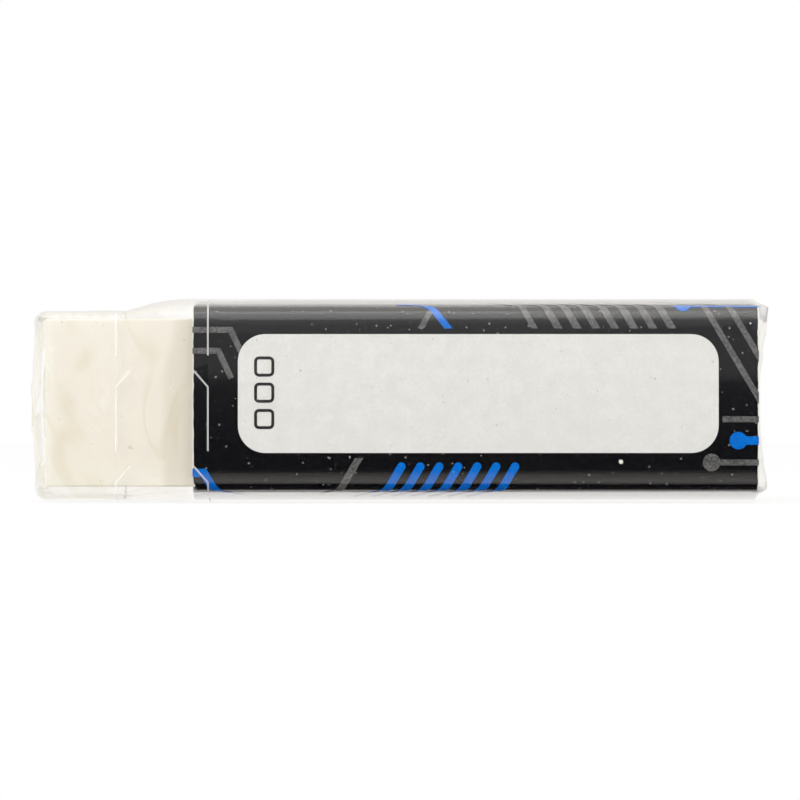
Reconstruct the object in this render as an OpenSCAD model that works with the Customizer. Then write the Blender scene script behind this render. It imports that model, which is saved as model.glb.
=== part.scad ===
// Eraser block in a printed card sleeve, all inside clear shrink film.
// It lies on a wide side. +X is its length, the name panel faces -Y and +Z is up.
// The origin is under the middle of the whole thing, where it stands.

/* [Eraser block] */
// Length of the block that shows past the sleeve's open end
bare_l = 8.93; // [7:0.01:16]
// Width of the block, front to back
block_w = 15.5; // [12:0.1:24]
// Height of the block as it lies
block_h = 10.15; // [8:0.05:15]
// Rounding of the block's cut edges
block_edge_r = 0.12; // [0.05:0.01:0.3]

/* [Card sleeve] */
// Length of the sleeve
sleeve_l = 34.2; // [28:0.1:48]
// Thickness of the card
card_t = 0.2; // [0.15:0.01:0.35]
// Room between the block and the card, in front of it and behind it
side_room = 0.73; // [0.5:0.01:1.2]
// Slack over the block, measured beside the upper folds
top_room = 0.57; // [0.1:0.01:1]
// Outer radius of the two lower folds
low_fold_r = 1.33; // [0.8:0.01:1.6]
// Outer radius of the two upper folds
up_fold_r = 1.1; // [0.8:0.01:1.6]
// How far the lower wide side bows out
low_bow = 0.65; // [0.3:0.01:1]
// How far the upper wide side bows out
up_bow = 0.4; // [0.2:0.01:1]
// How much of the lower bow the rest presses flat
flat_cut = 0.05; // [0.02:0.01:0.08]
// How far the sleeve's end stands past the block's end
sleeve_over = 0.03; // [0:0.01:0.5]
// Room between the block and the card where they come nearest
block_fit = 0.02; // [0.01:0.01:0.1]
// Distance of the glued lap's edge from the lower fold
lap_edge = 1.1; // [0.3:0.1:4]

/* [Print] */
// Thickness of a printed field
print_t = 0.04; // [0.02:0.01:0.08]
// Room between the name panel and the sleeve's open left end
panel_left = 2.74; // [1.5:0.01:6]
// Room between the name panel and the sleeve's right end
panel_right = 2.43; // [1.5:0.01:6]
// Room between the name panel and the top of the front
panel_over = 1.7; // [1.2:0.01:2.5]
// Room between the name panel and the bottom of the front
panel_under = 2.3; // [1.5:0.01:3]
// Corner radius of the name panel
panel_r = 1.66; // [0.5:0.01:2.5]
// Width of a blue stripe
blue_w = 0.5; // [0.3:0.01:0.7]
// Width of a grey stripe, measured along X
grey_w = 0.5; // [0.3:0.01:0.7]
// Distance from one stripe to the next
stripe_pitch = 1.144; // [0.9:0.001:1.2]
// Number of blue stripes
blue_stripes = 7; // [2:1:7]
// Number of grey stripes
grey_stripes = 7; // [2:1:7]
// How far a stripe leans along X for each millimetre up or back
lean = 0.59; // [0.3:0.01:1]
// How far the stripes run on from the fold along a wide side
stripe_run = 3.4; // [1:0.1:6]
// Width of a thin line
line_w = 0.36; // [0.2:0.01:0.4]
// Radius of a dot that ends a line
dot_r = 0.53; // [0.45:0.01:0.6]
// How far the thin lines run on from the upper fold
line_run = 4.6; // [2:0.1:6]

/* [Print layout] */
// Distance of the first blue stripe's round end from the sleeve's left end
blue_from_left = 12.61; // [11:0.01:14]
// Height of the blue stripes' round ends
blue_rise = 1.48; // [1:0.01:1.6]
// Height of the short blue trace at the lower left
corner_rise = 1.1; // [0.8:0.01:1.3]
// Length of that trace before it turns down
corner_in = 0.68; // [0.5:0.01:1]
// How far that trace runs on from the lower fold
corner_run = 2.4; // [1:0.1:5]
// Drop from the top of the front to the grey stripes' ends
grey_drop = 1.36; // [1:0.01:1.5]
// Distance of the first grey stripe's end from the sleeve's left end
grey_from_left = 22.1; // [20:0.01:23]
// Distance of the thin grey stripe before the first one
thin_before = 1.44; // [1:0.01:2]
// Width of the thin grey stripe
thin_stripe_w = 0.4; // [0.3:0.01:0.5]
// Distance of the peak's blue foot from the sleeve's left end
blue_foot_from_left = 15.46; // [15:0.01:17]
// Distance between the peak's two feet
foot_gap = 1.66; // [1.2:0.01:2]
// How far the blue line runs on from the peak over the wide side
peak_run = 1.8; // [1:0.1:4]
// Distance of the single grey stripe's upper end from the sleeve's left end
lone_from_left = 10.06; // [8:0.01:11]
// Height of the single grey stripe
lone_rise = 2; // [1.2:0.01:2.1]
// How far the single grey stripe runs on from the lower fold
lone_run = 2; // [1:0.1:4]
// Length of the upper line at the upper left
upper_line_in = 2.3; // [1.5:0.01:3]
// Distance of that line from the top of the front
upper_line_drop = 1.44; // [1:0.01:1.5]
// Length of the lower line at the upper left
lower_line_in = 1.57; // [1:0.01:2]
// Distance of that line from the top of the front
lower_line_drop = 2.71; // [2.2:0.01:3.2]
// Distance of the far long line from the sleeve's right end
far_line_in = 3.3; // [2.8:0.01:4]
// Distance of the near long line from the sleeve's right end
near_line_in = 1.8; // [1.2:0.01:2.2]
// Length of the level line at the right end
bar_in = 2.2; // [1:0.01:2.3]
// Distance of the level line from the top of the front
bar_drop = 6.84; // [6:0.01:7]
// Distance of the blue dot from the sleeve's right end
blue_dot_in = 1.24; // [0.8:0.01:1.6]
// Height of the blue dot
blue_dot_rise = 3.05; // [2.6:0.01:3.4]
// Distance of the grey dot from the sleeve's right end
grey_dot_in = 2.86; // [2:0.01:3.4]
// Height of the grey dot
grey_dot_rise = 1.73; // [1.4:0.01:1.8]
// Distance of the blue dot on the wide side from the sleeve's right end
edge_dot_in = 4.58; // [3.6:0.01:6]
// Distance of that dot from the fold
edge_dot_back = 0.55; // [0.5:0.01:1]

/* [Shrink film] */
// Thickness of the film
film_t = 0.04; // [0.03:0.01:0.08]
// Room between the film and what it lies on
film_gap = 0.04; // [0.02:0.01:0.2]
// Room between the block's bare end and the film that is drawn over it
end_room = 0.84; // [0.4:0.01:1.5]
// Drop of the film from the sleeve's top to the bare end
tent_drop = 0.75; // [0.3:0.01:0.8]
// Length over which the film comes down from the sleeve
tent_l = 4.15; // [2:0.1:6]
// How far the film draws in at the bare end, on each side
draw_in = 0.6; // [0.2:0.01:0.65]
// Radius of the film's edges over the bare end
bare_edge_r = 0.7; // [0.5:0.01:0.8]
// Radius of the turn at the left end
left_turn_r = 0.8; // [0.4:0.01:1]
// Radius of the turn at the right end
right_turn_r = 0.12; // [0.1:0.01:0.3]
// Width of the rim that is turned in over each end
rim_w = 2.3; // [1.2:0.1:3]
// How far the ears stick out at the right end's corners
ear_out = 0.62; // [0:0.01:0.8]
// Width of an ear
ear_w = 2.1; // [0.6:0.1:3]
// How far the corners draw back at the left end
corner_back = 0.35; // [0:0.01:0.6]
// Width over which they draw back
corner_w = 2.4; // [1:0.1:4]
// How far the rim's edge waves in and out
rim_wave = 0.22; // [0:0.01:0.4]
// Corner radius of the openings that the rims leave
open_r = 2.7; // [2:0.1:3.5]
// How far the rim at the left end leans inwards
rim_lean = 0.25; // [0:0.01:0.5]
// How far the film bows out below the bare end
bare_low_bow = 0.3; // [0.2:0.01:0.6]
// How far the film bows out above the bare end
bare_up_bow = 0.15; // [0.1:0.01:0.4]

/* [Perforation] */
// Width of the strip that tears off between the two rows of cuts
tear_w = 5.58; // [3:0.01:7]
// Height of the first straight cut on the front, above the lower fold
first_cut = 2.42; // [1:0.01:4]
// Distance of the right row from the sleeve's left end
row_in = 0.93; // [0.9:0.01:4]
// Length of a straight cut
cut_l = 3.87; // [2:0.01:4]
// Length along the row of the slanted cut that follows it
slant_l = 1; // [0.5:0.01:1.5]
// How far the slanted cut turns in to the strip's middle
slant_in = 0.87; // [0.4:0.01:1.5]
// Uncut bridge between a slanted cut and the next straight one
bridge = 0.9; // [0.4:0.01:1.5]
// Width of a cut
slit_w = 0.03; // [0.02:0.01:0.15]

/* [Hidden] */

block_color = [0.94, 0.92, 0.86];
card_color = [0.06, 0.06, 0.07];
panel_color = [0.87, 0.87, 0.85];
blue_color = [0.0, 0.43, 0.87];
grey_color = [0.34, 0.34, 0.35];
film_color = [0.93, 0.95, 0.95, 0.35];

// Ends along X. The film's ears on the right and its left end are as far from the origin.
film_stand = film_gap + film_t;
block_l = sleeve_l + bare_l - sleeve_over;
film_l = block_l + end_room + film_t + sleeve_over + film_stand + ear_out;
film_left = -film_l / 2;
block_left = film_left + film_t + end_room;
block_right = block_left + block_l;
sleeve_right = block_right + sleeve_over;
sleeve_left = sleeve_right - sleeve_l;
film_right = sleeve_right + film_stand;

// Widths along Y. The lap makes the back thicker, so the sleeve's middle lies in front of the origin.
half_w = block_w / 2 + side_room + card_t;
lap_t = card_t;
mid_y = -lap_t / 2;

// Heights. Each fold is an arc, and each wide side is a large arc that runs on from the folds.
sleeve_low = print_t + film_stand;
crown_low = sleeve_low - flat_cut;
low_fold_y = half_w - low_fold_r;
up_fold_y = half_w - up_fold_r;
low_fold_z = crown_low + low_bow + low_fold_r;
side_low = low_fold_z - low_fold_r;
low_arc_r = arc_radius(low_fold_y, low_bow, low_fold_r);
low_arc_z = crown_low + low_arc_r;

// The block lies as low as the two lower folds let its edges come.
block_edge_y = block_w / 2 - block_edge_r;
fold_inner_r = low_fold_r - card_t - block_fit - block_edge_r;
edge_reach = max(0, block_edge_y - low_fold_y);
on_fold_z = low_fold_z - sqrt(fold_inner_r * fold_inner_r - edge_reach * edge_reach) - block_edge_r;
wall_inner_r = low_arc_r - card_t - block_fit - block_edge_r;
on_wall_z = low_arc_z - sqrt(wall_inner_r * wall_inner_r - block_edge_y * block_edge_y) - block_edge_r;
block_low = edge_reach > 0 ? on_fold_z : on_wall_z;
block_top = block_low + block_h;

side_top = block_top + top_room + card_t;
up_fold_z = side_top - up_fold_r;
sleeve_top = side_top + up_bow;
up_arc_r = arc_radius(up_fold_y, up_bow, up_fold_r);
up_arc_z = sleeve_top - up_arc_r;
middle_z = (low_fold_z + up_fold_z) / 2;

// Radius of the arc that joins two folds over a half chord and bows by this much
function arc_radius(half_chord, bow, fold_r) =
    (half_chord * half_chord + bow * bow) / (2 * bow) + fold_r;

// How far the large arc reaches sideways before a fold takes over
function arc_reach(fold_y, fold_r, arc_r, grow) = fold_y / (arc_r - fold_r) * (arc_r + grow);

round_fn = 64;
arc_fn = 720;
reach = 3;
past = 1;
cut = 0.01;
end_more = 0.005;

// The sleeve's outline seen along X, moved outwards by grow. Y runs to the right.
module wrap_section(grow) {
    low_reach = arc_reach(low_fold_y, low_fold_r, low_arc_r, grow);
    up_reach = arc_reach(up_fold_y, up_fold_r, up_arc_r, grow);
    intersection() {
        translate([0, low_arc_z]) circle(r = low_arc_r + grow, $fn = arc_fn);
        translate([-low_reach, sleeve_low - grow]) square([2 * low_reach, middle_z - sleeve_low + grow]);
    }
    intersection() {
        translate([0, up_arc_z]) circle(r = up_arc_r + grow, $fn = arc_fn);
        translate([-up_reach, middle_z]) square([2 * up_reach, sleeve_top - middle_z + grow]);
    }
    translate([-half_w - grow, low_fold_z]) square([2 * (half_w + grow), up_fold_z - low_fold_z]);
    for (side = [-1, 1]) {
        translate([side * low_fold_y, low_fold_z]) circle(r = low_fold_r + grow, $fn = round_fn);
        translate([side * up_fold_y, up_fold_z]) circle(r = up_fold_r + grow, $fn = round_fn);
    }
}

// Stands a section that was drawn in Y and Z along X, from one end to the other
module along_x(from, to) {
    translate([from, mid_y, 0])
        rotate([90, 0, 90])
            linear_extrude(to - from) children();
}

module rounded_square(size, r) {
    for (x = [r, size[0] - r])
        for (y = [r, size[1] - r])
            translate([x, y]) circle(r = r, $fn = round_fn);
    translate([r, 0]) square([size[0] - 2 * r, size[1]]);
    translate([0, r]) square([size[0], size[1] - 2 * r]);
}

module eraser_block() {
    color(block_color)
    translate([block_left, mid_y - block_w / 2, block_low])
    intersection() {
        linear_extrude(block_h) rounded_square([block_l, block_w], block_edge_r);
        rotate([90, 0, 90]) linear_extrude(block_l) rounded_square([block_w, block_h], block_edge_r);
        translate([0, block_w, 0])
            rotate([90, 0, 0]) linear_extrude(block_w) rounded_square([block_l, block_h], block_edge_r);
    }
}

// One strip of card, closed by a lap that lies on the back
module card_sleeve() {
    color(card_color)
    along_x(sleeve_left, sleeve_right) {
        difference() {
            wrap_section(0);
            wrap_section(-card_t);
        }
        translate([half_w - cut, low_fold_z + lap_edge])
            square([lap_t + cut, up_fold_z - low_fold_z - lap_edge]);
    }
}

// Print: a thin skin on the card, cut to shape. A line that crosses a fold is cut along Y on the front
// and along Z on the wide side. The two zones part halfway round the fold, by a hair.
seam = 0.002;
halfway = sqrt(0.5);
up_line_z = up_fold_z + (up_fold_r + print_t / 2) * halfway;
up_line_y = mid_y - up_fold_y - (up_fold_r + print_t / 2) * halfway;
low_line_z = low_fold_z - (low_fold_r + print_t / 2) * halfway;
low_line_y = mid_y - low_fold_y - (low_fold_r + print_t / 2) * halfway;
front_zone = [
    [-low_fold_y, low_fold_z + seam],
    [-low_fold_y - reach, low_fold_z + seam - reach],
    [-up_fold_y - reach, up_fold_z - seam + reach],
    [-up_fold_y, up_fold_z - seam]
];
over_zone = [
    [-up_fold_y, up_fold_z],
    [-up_fold_y - reach, up_fold_z + reach],
    [0, up_fold_z + reach],
    [0, up_fold_z]
];
under_zone = [
    [-low_fold_y, low_fold_z],
    [0, low_fold_z],
    [0, low_fold_z - reach],
    [-low_fold_y - reach, low_fold_z - reach]
];

module skin(zone) {
    along_x(sleeve_left, sleeve_right)
        intersection() {
            difference() {
                wrap_section(print_t);
                wrap_section(0);
            }
            polygon(zone);
        }
}

// Shapes drawn as seen from the front, in X and Z
module on_front() {
    intersection() {
        skin(front_zone);
        translate([0, -up_fold_y, 0]) rotate([90, 0, 0]) linear_extrude(reach) children();
    }
}

// Shapes drawn as seen from above, in X and Y, from the upper front fold backwards
module on_top() {
    intersection() {
        skin(over_zone);
        translate([0, 0, up_fold_z]) linear_extrude(reach) children();
    }
}

// The same for the lower side, also drawn as seen from above
module on_bottom() {
    intersection() {
        skin(under_zone);
        translate([0, 0, low_fold_z - reach]) linear_extrude(reach) children();
    }
}

module dot(at, r) {
    translate(at) circle(r = r, $fn = round_fn);
}

// A round end is a hair wider than its line, so that its edge never lies along the line's edge.
module round_end(at, w) {
    dot(at, w / 2 + end_more);
}

module bar(from, to, w) {
    run = to - from;
    translate(from)
        rotate(atan2(run[1], run[0]))
            translate([0, -w / 2]) square([norm(run), w]);
}

// A line from point to point with a mitred bend
module bent(from, bend, to, w) {
    first = (bend - from) / norm(bend - from);
    second = (to - bend) / norm(to - bend);
    first_side = [-first[1], first[0]] * w / 2;
    second_side = [-second[1], second[0]] * w / 2;
    both = first_side + second_side;
    mitre = both * (w * w / 2) / (both * both);
    polygon([
        from + first_side,
        bend + mitre,
        to + second_side,
        to - second_side,
        bend - mitre,
        from - first_side
    ]);
}

// A slanted stripe with level ends, from height low to height high. X is its middle at low, w is level.
module slanted(x, low, high, w, by) {
    shift = by * (high - low);
    polygon([[x - w / 2, low], [x + w / 2, low], [x + w / 2 + shift, high], [x - w / 2 + shift, high]]);
}

// The name panel on the front
panel_x = sleeve_left + panel_left;
panel_z = side_low + panel_under;
panel_l = sleeve_l - panel_left - panel_right;
panel_h = side_top - side_low - panel_over - panel_under;

module panel_shape() {
    translate([panel_x, panel_z]) rounded_square([panel_l, panel_h], panel_r);
}

module name_panel() {
    color(panel_color) on_front() panel_shape();
}

// Blue stripes: round ends on the front, then round the lower fold and on along the lower side
blue_end_x = sleeve_left + blue_from_left;
blue_end_z = side_low + blue_rise;

module blue_stripe_front(x) {
    bar([x - lean * blue_end_z, 0], [x, blue_end_z], blue_w);
    round_end([x, blue_end_z], blue_w);
}

module blue_stripe_under(x) {
    fold_x = x - lean * (blue_end_z - low_line_z);
    end = [fold_x - lean * stripe_run, low_line_y + stripe_run];
    bar([fold_x + lean * past, low_line_y - past], end, blue_w);
    round_end(end, blue_w);
}

// Short blue trace at the lower left, which turns down and runs round the lower fold
corner_z = side_low + corner_rise;
corner_bend_x = sleeve_left + corner_in;
corner_fold_x = corner_bend_x + lean * (corner_z - low_line_z);

module corner_trace_front() {
    bend = [corner_bend_x, corner_z];
    bent([sleeve_left - past, corner_z], bend, bend + [lean, -1] * reach, blue_w);
}

module corner_trace_under() {
    end = [corner_fold_x + lean * corner_run, low_line_y + corner_run];
    bar([corner_fold_x - lean * past, low_line_y - past], end, blue_w);
    dot(end, dot_r);
}

// The peak where a blue and a grey line meet at the upper fold. The blue one runs on a little way.
grey_end_z = side_top - grey_drop;
blue_foot_x = sleeve_left + blue_foot_from_left;
blue_foot_lean = -0.8;
grey_foot_x = blue_foot_x - foot_gap;
grey_foot_lean = 0.53;
peak_x = blue_foot_x + blue_foot_lean * (up_line_z - grey_end_z);

module blue_foot() {
    slanted(blue_foot_x, grey_end_z, side_top, blue_w, blue_foot_lean);
}

module peak_over() {
    end = [peak_x - peak_run, up_line_y + peak_run];
    bar([peak_x + past, up_line_y - past], end, line_w);
    dot(end, dot_r);
}

// Lines and dots by the right end
bar_x = sleeve_right - bar_in;
bar_z = side_top - bar_drop;
blue_dot = [sleeve_right - blue_dot_in, side_low + blue_dot_rise];
grey_dot = [sleeve_right - grey_dot_in, side_low + grey_dot_rise];
edge_dot = [sleeve_right - edge_dot_in, up_line_y + edge_dot_back];

module dot_with_tail(at, r, w) {
    dot(at, r);
    bar(at, [sleeve_right + past, at[1]], w);
}

// Two long thin lines that come down from the upper fold to the right end
far_line_x = sleeve_right - far_line_in;
near_line_x = sleeve_right - near_line_in;

module long_line_front(x) {
    slanted(x, 0, side_top, line_w / cos(atan(lean)), -lean);
}

module long_line_over(x, run) {
    fold_x = x - lean * up_line_z;
    end = [fold_x - lean * run, up_line_y + run];
    bar([fold_x + lean * past, up_line_y - past], end, line_w);
    dot(end, dot_r);
}

// Two thin lines at the upper left, which turn down behind the name panel
upper_line = [sleeve_left + upper_line_in, side_top - upper_line_drop];
lower_line = [sleeve_left + lower_line_in, side_top - lower_line_drop];
left_line_lean = 0.47;

module left_line(bend) {
    bent([sleeve_left - past, bend[1]], bend, bend + [left_line_lean, -1] * panel_r, line_w);
}

// Grey stripes: level ends on the front, then round the upper fold and on along the upper side
grey_end_x = sleeve_left + grey_from_left;
thin_stripe_x = grey_end_x - thin_before;

module grey_stripe_front(x, w) {
    slanted(x, grey_end_z, side_top, w, -lean);
}

module grey_stripe_over(x, w) {
    fold_x = x - lean * (up_line_z - grey_end_z);
    slanted(fold_x + lean * past, up_line_y - past, up_line_y + stripe_run, w, -lean);
}

// A single grey stripe at the bottom, left of the blue ones
lone_x = sleeve_left + lone_from_left;
lone_z = side_low + lone_rise;

module lone_front() {
    slanted(lone_x - lean * lone_z, 0, lone_z, grey_w, lean);
}

module lone_under() {
    fold_x = lone_x - lean * (lone_z - low_line_z);
    slanted(fold_x + lean * past, low_line_y - past, low_line_y + lone_run, grey_w, -lean);
}

// The panel is left clear of both inks, and grey is left clear of blue.
module blue_on_front() {
    for (i = [0 : blue_stripes - 1])
        blue_stripe_front(blue_end_x + i * stripe_pitch);
    blue_foot();
    corner_trace_front();
    dot_with_tail(blue_dot, dot_r, blue_w);
}

module blue_on_bottom() {
    for (i = [0 : blue_stripes - 1])
        blue_stripe_under(blue_end_x + i * stripe_pitch);
    corner_trace_under();
}

module blue_on_top() {
    peak_over();
    dot_with_tail(edge_dot, dot_r, line_w);
}

module grey_on_front() {
    for (i = [0 : grey_stripes - 1])
        grey_stripe_front(grey_end_x + i * stripe_pitch, grey_w);
    grey_stripe_front(thin_stripe_x, thin_stripe_w);
    slanted(grey_foot_x, grey_end_z, side_top, thin_stripe_w, grey_foot_lean);
    long_line_front(far_line_x + lean * side_top);
    long_line_front(near_line_x + lean * side_top);
    left_line(upper_line);
    left_line(lower_line);
    lone_front();
    bar([bar_x, bar_z], [sleeve_right + past, bar_z], line_w);
    dot_with_tail(grey_dot, dot_r, line_w);
}

module grey_on_top() {
    for (i = [0 : grey_stripes - 1])
        grey_stripe_over(grey_end_x + i * stripe_pitch, grey_w);
    grey_stripe_over(thin_stripe_x, thin_stripe_w);
    long_line_over(far_line_x + lean * side_top, line_run);
    long_line_over(near_line_x + lean * side_top, line_run - dot_r * 3);
}

module print_blue() {
    color(blue_color) {
        on_front() difference() {
            blue_on_front();
            panel_shape();
        }
        on_bottom() blue_on_bottom();
        on_top() blue_on_top();
    }
}

module print_grey() {
    color(grey_color) {
        on_front() difference() {
            grey_on_front();
            panel_shape();
            blue_on_front();
            dot(blue_dot, dot_r + line_w);
        }
        on_bottom() difference() {
            lone_under();
            blue_on_bottom();
        }
        on_top() difference() {
            grey_on_top();
            blue_on_top();
        }
    }
}

// The film: a thin shell through rings of points. Each ring is a section across X with as many points
// as the others, and the rings run from the left rim over both ends to the right rim.
fold_steps = 8;
arc_steps = 12;
side_steps = 3;
turn_steps = 5;
rim_steps = 4;
tent_steps = 8;
waves = 5;

film_mid = print_t + film_gap + film_t / 2;
film_half_w = half_w + film_mid;
film_low = film_t / 2;
film_top = sleeve_top + film_mid;

function mix(a, b, t) = a + (b - a) * t;
function rise(t) = 1 - (1 - t) * (1 - t);
function arc(center, r, from, to, steps) = [
    for (k = [0 : steps - 1])
        let (a = mix(from, to, k / steps)) center + r * [cos(a), sin(a)]
];
function line(from, to, steps) = [for (k = [0 : steps - 1]) mix(from, to, k / steps)];

// A closed section like the sleeve's: half width, lowest and highest point, bows and edge radii
function section(half_y, low, top, low_b, top_b, low_r, top_r) =
    let (
        low_y = half_y - low_r,
        top_y = half_y - top_r,
        low_z = low - flat_cut + low_b + low_r,
        top_z = top - top_b - top_r,
        low_a = arc_radius(low_y, low_b, low_r),
        top_a = arc_radius(top_y, top_b, top_r),
        low_turn = asin(low_y / (low_a - low_r)),
        top_turn = asin(top_y / (top_a - top_r)),
        flat_turn = acos(1 - flat_cut / low_a),
        low_center = [0, low - flat_cut + low_a],
        points = concat(
            arc([-low_y, low_z], low_r, 180, 270 - low_turn, fold_steps),
            arc(low_center, low_a, 270 - low_turn, 270 - flat_turn, arc_steps / 2),
            [[-low_a * sin(flat_turn), low]],
            arc(low_center, low_a, 270 + flat_turn, 270 + low_turn, arc_steps / 2),
            arc([low_y, low_z], low_r, 270 + low_turn, 360, fold_steps),
            line([half_y, low_z], [half_y, top_z], side_steps),
            arc([top_y, top_z], top_r, 0, 90 - top_turn, fold_steps),
            arc([0, top - top_a], top_a, 90 - top_turn, 90 + top_turn, arc_steps),
            arc([-top_y, top_z], top_r, 90 + top_turn, 180, fold_steps),
            line([-half_y, top_z], [-half_y, low_z], side_steps)
        )
    )
    [for (p = points) [p[0] + (p[0] > cut ? lap_t : 0), p[1]]];

// The film's section. It lies on the sleeve where on is 1 and round the bare end where on is 0,
// and inset is how far it is turned in over an end.
function film_section(on, inset) =
    let (t = min(1, inset / rim_w))
    section(
        film_half_w - draw_in * (1 - on) - inset,
        film_low + inset,
        film_top - tent_drop * (1 - on) - inset,
        mix(bare_low_bow, low_bow, on) * (1 - t / 2),
        mix(bare_up_bow, up_bow, on) * (1 - t / 2),
        mix(mix(bare_edge_r, low_fold_r + film_mid, on), open_r, t),
        mix(mix(bare_edge_r, up_fold_r + film_mid, on), open_r, t)
    );

// Distance from a point of a section to the nearest corner of the box round it
function corner_distance(p, half_y, low, top) =
    norm([half_y - abs(p[0]), min(p[1] - low, top - p[1])]);

function near_corner(p, width) =
    let (d = corner_distance(p, film_half_w, film_low, film_top)) exp(-(d * d) / (width * width));

// The rings: [x, on, inset, how much of the left end's shape, how much of the right end's shape]
left_turn_x = film_left + film_t / 2 + left_turn_r;
right_turn_x = film_right - film_t / 2 - right_turn_r;
tent_x = sleeve_left - tent_l;
rings = concat(
    [for (k = [rim_steps : -1 : 1])
        let (t = k / rim_steps)
        [left_turn_x - left_turn_r + rim_lean * t * t, 0, mix(left_turn_r, rim_w, t), 1, 0]],
    [for (k = [turn_steps : -1 : 0])
        let (a = 90 * k / turn_steps)
        [left_turn_x - left_turn_r * sin(a), 0, left_turn_r * (1 - cos(a)), k / turn_steps, 0]],
    [[tent_x, 0, 0, 0, 0]],
    [for (k = [1 : tent_steps])
        [mix(tent_x, sleeve_left, k / tent_steps), rise(k / tent_steps), 0, 0, 0]],
    [[right_turn_x, 1, 0, 0, 0]],
    [for (k = [1 : turn_steps])
        let (a = 90 * k / turn_steps)
        [right_turn_x + right_turn_r * sin(a), 1, right_turn_r * (1 - cos(a)), 0, k / turn_steps]],
    [for (k = [1 : rim_steps])
        let (t = k / rim_steps)
        [right_turn_x + right_turn_r, 1, mix(right_turn_r, rim_w, t), 0, exp(-3 * t * t)]]
);

// One ring's points in space. The rim waves in and out, more so near its edge.
function placed(r) =
    let (
        outer = film_section(r[1], 0),
        own = film_section(r[1], r[2]),
        count = len(own),
        t = r[2] / rim_w
    )
    [for (j = [0 : count - 1])
        let (
            back = corner_back * near_corner(outer[j], corner_w) * r[3],
            out = ear_out * near_corner(outer[j], ear_w) * r[4],
            center = [0, middle_z],
            away = (own[j] - center) / norm(own[j] - center),
            p = own[j] + away * rim_wave * t * t * sin(360 * waves * j / count)
        )
        [r[0] + back + out, mid_y + p[0], p[1]]];

grid = [for (r = rings) placed(r)];
ring_count = len(grid);
point_count = len(grid[0]);

function outward(i, j) =
    let (
        along = grid[min(i + 1, ring_count - 1)][j] - grid[max(i - 1, 0)][j],
        around = grid[i][(j + 1) % point_count] - grid[i][(j + point_count - 1) % point_count],
        n = cross(around, along)
    )
    n / norm(n);

// The film's wall: the rings moved out by half its thickness, then the same rings moved in
film_points = [
    for (side = [1, -1])
        for (i = [0 : ring_count - 1])
            for (j = [0 : point_count - 1])
                grid[i][j] + outward(i, j) * side * film_t / 2
];

function at(layer, i, j) = (layer * ring_count + i) * point_count + j % point_count;

film_faces = concat(
    [for (i = [0 : ring_count - 2]) for (j = [0 : point_count - 1]) each [
        [at(0, i, j), at(0, i + 1, j), at(0, i + 1, j + 1)],
        [at(0, i, j), at(0, i + 1, j + 1), at(0, i, j + 1)],
        [at(1, i, j), at(1, i + 1, j + 1), at(1, i + 1, j)],
        [at(1, i, j), at(1, i, j + 1), at(1, i + 1, j + 1)]
    ]],
    [for (j = [0 : point_count - 1]) each [
        [at(0, 0, j), at(0, 0, j + 1), at(1, 0, j + 1)],
        [at(0, 0, j), at(1, 0, j + 1), at(1, 0, j)],
        [at(0, ring_count - 1, j + 1), at(0, ring_count - 1, j), at(1, ring_count - 1, j)],
        [at(0, ring_count - 1, j + 1), at(1, ring_count - 1, j), at(1, ring_count - 1, j + 1)]
    ]]
);

// The two rows of cuts. On the front and the back a cut runs up and goes through along Y. On the wide
// sides it runs back and goes through along Z. Both kinds stop halfway round the film's edges.
cut_pitch = cut_l + slant_l + bridge;
right_row = sleeve_left + row_in;
left_row = right_row - tear_w;
first_cut_z = side_low + first_cut;

function on_at(x) = rise(max(0, min(1, (x - tent_x) / tent_l)));
function halfway_round(half_y, z, r, up) = [half_y - r + r * halfway, z + (up ? -1 : 1) * r * (1 - halfway)];
function upper_edge(on) = halfway_round(
    film_half_w - draw_in * (1 - on),
    film_top - tent_drop * (1 - on) - mix(bare_up_bow, up_bow, on),
    mix(bare_edge_r, up_fold_r + film_mid, on),
    true
);
function lower_edge(on) = halfway_round(
    film_half_w - draw_in * (1 - on),
    film_low - flat_cut + mix(bare_low_bow, low_bow, on),
    mix(bare_edge_r, low_fold_r + film_mid, on),
    false
);

// One cut in the plane of a wall: s is how far along the row, t is along X
module slit(s_from, t_from, s_to, t_to, s_min, s_max) {
    a = max(0, (s_min - s_from) / (s_to - s_from));
    b = min(1, (s_max - s_from) / (s_to - s_from));
    if (b - a > cut)
        bar(
            [mix(t_from, t_to, a), mix(s_from, s_to, a)],
            [mix(t_from, t_to, b), mix(s_from, s_to, b)],
            slit_w
        );
}

// A straight cut and its slanted end for every pitch between the two limits
module row_of_cuts(x, inwards, start, low, high) {
    first = floor((low - start) / cut_pitch);
    last = floor((high - start) / cut_pitch);
    for (k = [first : last]) {
        s = start + k * cut_pitch;
        slit(s, x, s + cut_l, x, low, high);
        slit(s + cut_l, x, s + cut_l + slant_l, x + inwards * slant_in, low, high);
    }
}

module cuts(x, inwards) {
    on = on_at(x);
    up_edge = upper_edge(on);
    low_edge = lower_edge(on);
    front_limit = mid_y - up_edge[0];
    back_limit = mid_y + up_edge[0] + lap_t;
    over_start = front_limit - (up_edge[1] - first_cut_z);
    translate([0, film_half_w + reach, 0])
        rotate([90, 0, 0])
            linear_extrude(2 * (film_half_w + reach))
                row_of_cuts(x, inwards, first_cut_z, low_edge[1], up_edge[1]);
    translate([0, 0, -reach])
        linear_extrude(film_top + 2 * reach)
            row_of_cuts(x, inwards, over_start, front_limit, back_limit);
}

module shrink_film() {
    color(film_color)
    difference() {
        polyhedron(points = film_points, faces = film_faces);
        cuts(right_row, -1);
        cuts(left_row, 1);
    }
}

eraser_block();
card_sleeve();
name_panel();
print_blue();
print_grey();
shrink_film();
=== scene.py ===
import math

import bpy
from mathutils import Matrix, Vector, noise


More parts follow.
